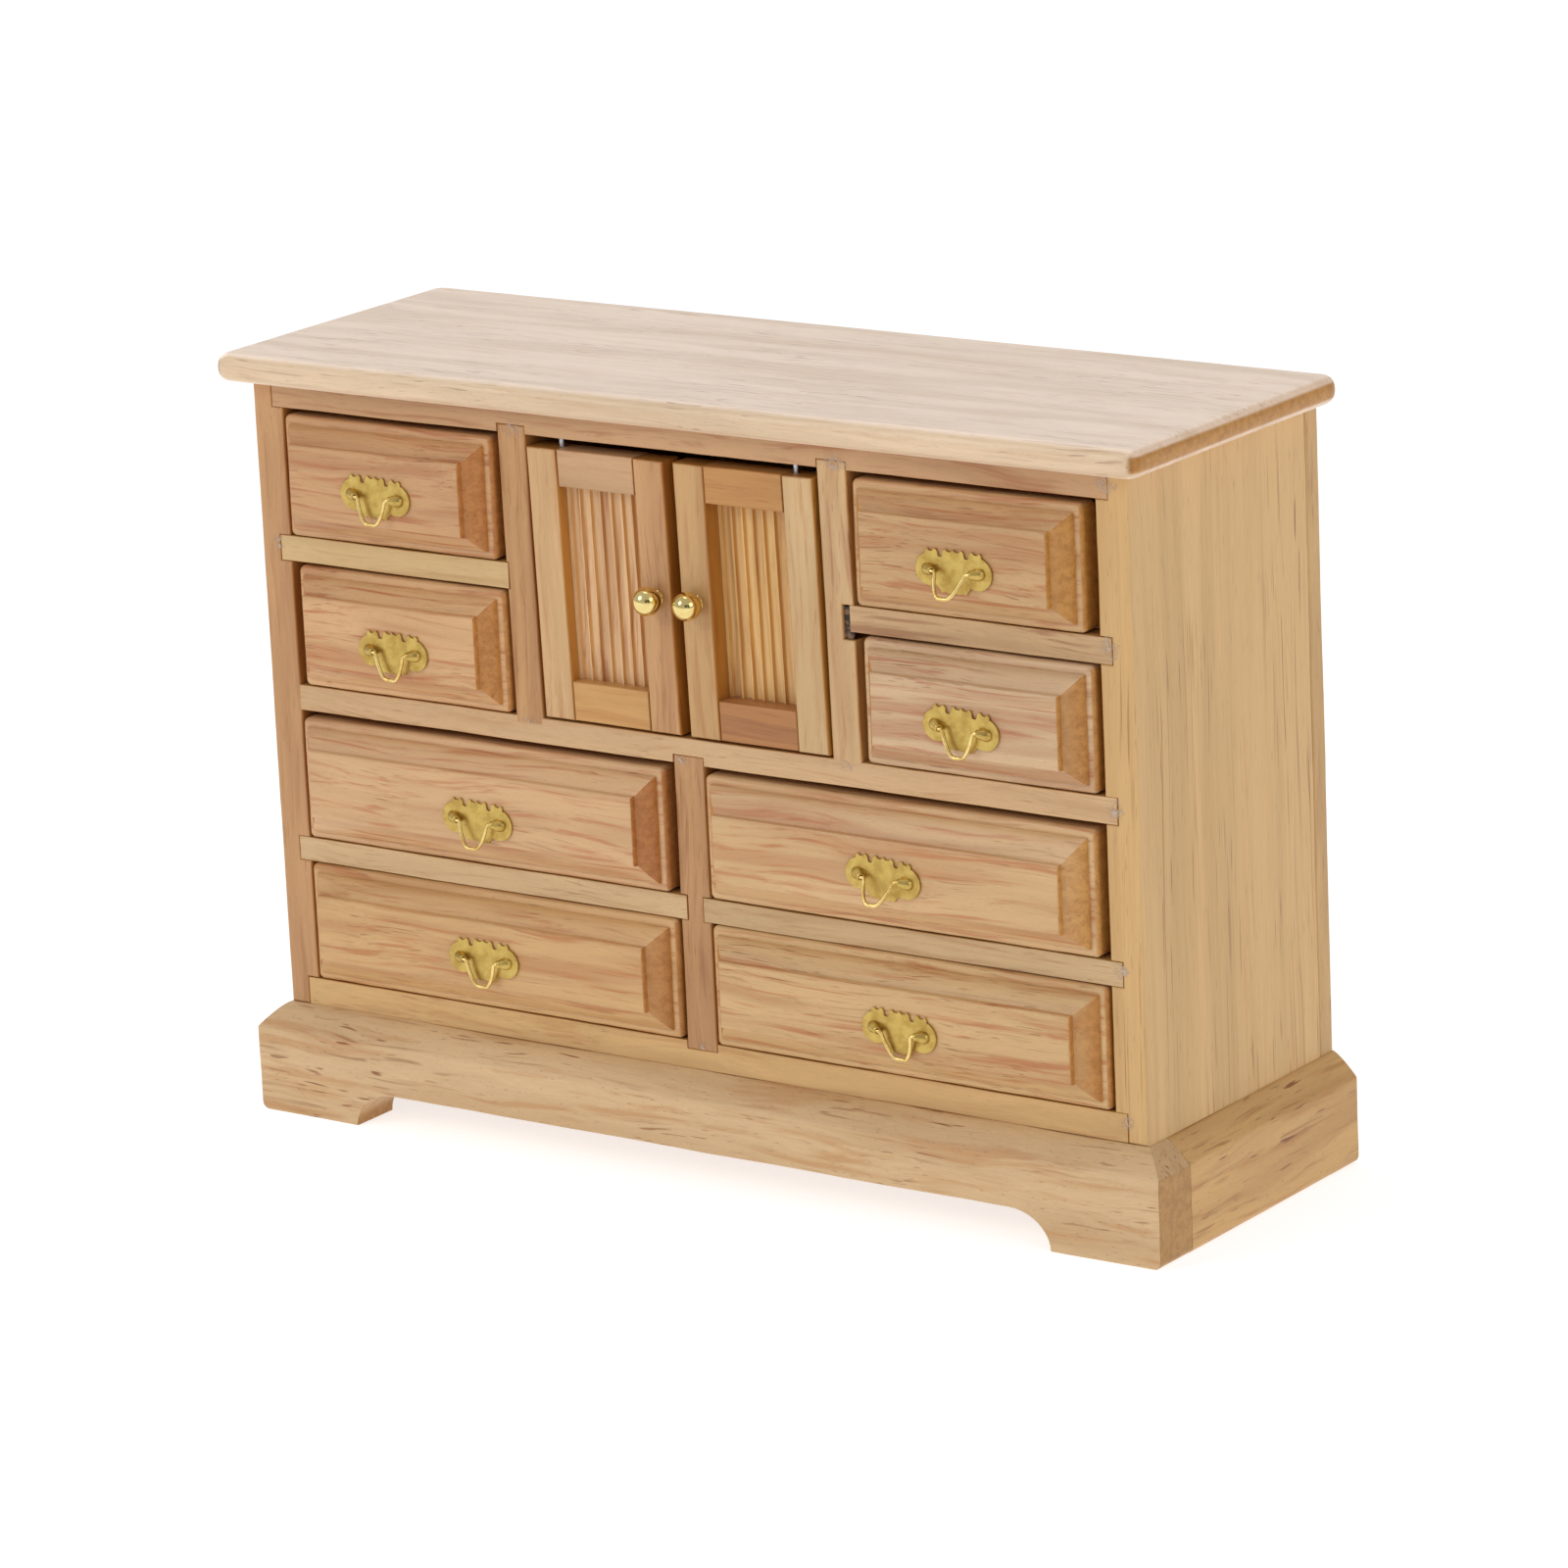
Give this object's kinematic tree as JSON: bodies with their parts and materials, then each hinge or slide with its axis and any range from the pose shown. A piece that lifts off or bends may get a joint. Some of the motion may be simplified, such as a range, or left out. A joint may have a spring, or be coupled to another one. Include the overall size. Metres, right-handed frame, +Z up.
{
  "type": "miniature chest of drawers",
  "caption": "Doll's house chest of drawers in varnished pale wood: drawers around a two-door cupboard with fluted panels, stamped brass bail pulls, ball knobs and an arched plinth.",
  "frame": {"origin": "centre of the whole chest's footprint box, on the surface it stands on", "axes": "+X to the chest's right-hand side as the viewer sees its front, -Y out of the front, +Z up"},
  "size_m": [0.1282, 0.0462, 0.0934],
  "materials": {
    "case_wood": "satin varnish over pale wood with short brown grain marks",
    "top_wood": "satin varnish over very pale wood",
    "plinth_wood": "satin varnish over pale wood with long dark flecks",
    "drawer_front_wood": "satin varnish over pinkish tan wood",
    "drawer_box_wood": "bare sanded wood",
    "door_frame_wood": "satin varnish over pale wood",
    "fluted_panel_wood": "satin varnish over streaky reddish wood",
    "brass_plates": "polished stamped sheet",
    "brass_wire": "polished drawn wire",
    "brass_knobs": "mirror polish",
    "steel_pins": "plain drawn wire"
  },
  "bodies": {
    "case": {"top_board": "top_wood", "left_side_panel": "case_wood", "right_side_panel": "case_wood", "back_panel": "case_wood", "top_rail": "case_wood", "middle_shelf": "case_wood", "bottom_shelf": "case_wood", "left_divider": "case_wood", "right_divider": "case_wood", "centre_divider": "case_wood", "upper_left_shelf": "case_wood", "upper_right_shelf": "case_wood", "lower_left_shelf": "case_wood", "lower_right_shelf": "case_wood", "plinth_front": "plinth_wood", "plinth_left": "plinth_wood", "plinth_right": "plinth_wood", "plinth_back": "plinth_wood", "door_pins": "steel_pins"},
    "left_door": {"left_door_stiles": "door_frame_wood", "left_door_rails": "door_frame_wood", "left_door_panel": "fluted_panel_wood", "left_door_knob": "brass_knobs"},
    "right_door": {"right_door_stiles": "door_frame_wood", "right_door_rails": "door_frame_wood", "right_door_panel": "fluted_panel_wood", "right_door_knob": "brass_knobs"},
    "drawer_1": {"drawer_1_front": "drawer_front_wood", "drawer_1_box": "drawer_box_wood", "drawer_1_plate": "brass_plates"},
    "bail_1": {"drawer_1_bail": "brass_wire"},
    "drawer_2": {"drawer_2_front": "drawer_front_wood", "drawer_2_box": "drawer_box_wood", "drawer_2_plate": "brass_plates"},
    "bail_2": {"drawer_2_bail": "brass_wire"},
    "drawer_3": {"drawer_3_front": "drawer_front_wood", "drawer_3_box": "drawer_box_wood", "drawer_3_plate": "brass_plates"},
    "bail_3": {"drawer_3_bail": "brass_wire"},
    "drawer_4": {"drawer_4_front": "drawer_front_wood", "drawer_4_box": "drawer_box_wood", "drawer_4_plate": "brass_plates"},
    "bail_4": {"drawer_4_bail": "brass_wire"},
    "drawer_5": {"drawer_5_front": "drawer_front_wood", "drawer_5_box": "drawer_box_wood", "drawer_5_plate": "brass_plates"},
    "bail_5": {"drawer_5_bail": "brass_wire"},
    "drawer_6": {"drawer_6_front": "drawer_front_wood", "drawer_6_box": "drawer_box_wood", "drawer_6_plate": "brass_plates"},
    "bail_6": {"drawer_6_bail": "brass_wire"},
    "drawer_7": {"drawer_7_front": "drawer_front_wood", "drawer_7_box": "drawer_box_wood", "drawer_7_plate": "brass_plates"},
    "bail_7": {"drawer_7_bail": "brass_wire"},
    "drawer_8": {"drawer_8_front": "drawer_front_wood", "drawer_8_box": "drawer_box_wood", "drawer_8_plate": "brass_plates"},
    "bail_8": {"drawer_8_bail": "brass_wire"}
  },
  "joints": [
    {"name": "left_door_hinge", "type": "hinge", "parent": "case", "child": "left_door", "pos_m": [-0.0168, -0.01558, 0.07], "axis": [0, 0, -1], "range_deg": [0, 90]},
    {"name": "right_door_hinge", "type": "hinge", "parent": "case", "child": "right_door", "pos_m": [0.016, -0.01558, 0.07], "axis": [0, 0, 1], "range_deg": [0, 90]},
    {"name": "drawer_1_slide", "type": "slide", "parent": "case", "child": "drawer_1", "axis": [0, -1, 0], "range_m": [0, 0.024]},
    {"name": "bail_1_swing", "type": "hinge", "parent": "drawer_1", "child": "bail_1", "pos_m": [-0.0409, -0.02118, 0.0782], "axis": [-1, 0, 0], "range_deg": [-11, 96]},
    {"name": "drawer_2_slide", "type": "slide", "parent": "case", "child": "drawer_2", "axis": [0, -1, 0], "range_m": [0, 0.024]},
    {"name": "bail_2_swing", "type": "hinge", "parent": "drawer_2", "child": "bail_2", "pos_m": [-0.0396, -0.02118, 0.05965], "axis": [-1, 0, 0], "range_deg": [-10, 97]},
    {"name": "drawer_3_slide", "type": "slide", "parent": "case", "child": "drawer_3", "axis": [0, -1, 0], "range_m": [0, 0.024]},
    {"name": "bail_3_swing", "type": "hinge", "parent": "drawer_3", "child": "bail_3", "pos_m": [0.04005, -0.02118, 0.07765], "axis": [-1, 0, 0], "range_deg": [-40, 67]},
    {"name": "drawer_4_slide", "type": "slide", "parent": "case", "child": "drawer_4", "axis": [0, -1, 0], "range_m": [0, 0.024]},
    {"name": "bail_4_swing", "type": "hinge", "parent": "drawer_4", "child": "bail_4", "pos_m": [0.0402, -0.02118, 0.05965], "axis": [-1, 0, 0], "range_deg": [-9, 98]},
    {"name": "drawer_5_slide", "type": "slide", "parent": "case", "child": "drawer_5", "axis": [0, -1, 0], "range_m": [0, 0.024]},
    {"name": "bail_5_swing", "type": "hinge", "parent": "drawer_5", "child": "bail_5", "pos_m": [-0.02852, -0.02118, 0.0406], "axis": [-1, 0, 0], "range_deg": [-15, 92]},
    {"name": "drawer_6_slide", "type": "slide", "parent": "case", "child": "drawer_6", "axis": [0, -1, 0], "range_m": [0, 0.024]},
    {"name": "bail_6_swing", "type": "hinge", "parent": "drawer_6", "child": "bail_6", "pos_m": [-0.02873, -0.02118, 0.0236], "axis": [-1, 0, 0], "range_deg": [-5, 102]},
    {"name": "drawer_7_slide", "type": "slide", "parent": "case", "child": "drawer_7", "axis": [0, -1, 0], "range_m": [0, 0.024]},
    {"name": "bail_7_swing", "type": "hinge", "parent": "drawer_7", "child": "bail_7", "pos_m": [0.02882, -0.02118, 0.04105], "axis": [-1, 0, 0], "range_deg": [-41, 66]},
    {"name": "drawer_8_slide", "type": "slide", "parent": "case", "child": "drawer_8", "axis": [0, -1, 0], "range_m": [0, 0.024]},
    {"name": "bail_8_swing", "type": "hinge", "parent": "drawer_8", "child": "bail_8", "pos_m": [0.03018, -0.02118, 0.02315], "axis": [-1, 0, 0], "range_deg": [-1, 106]}
  ]
}
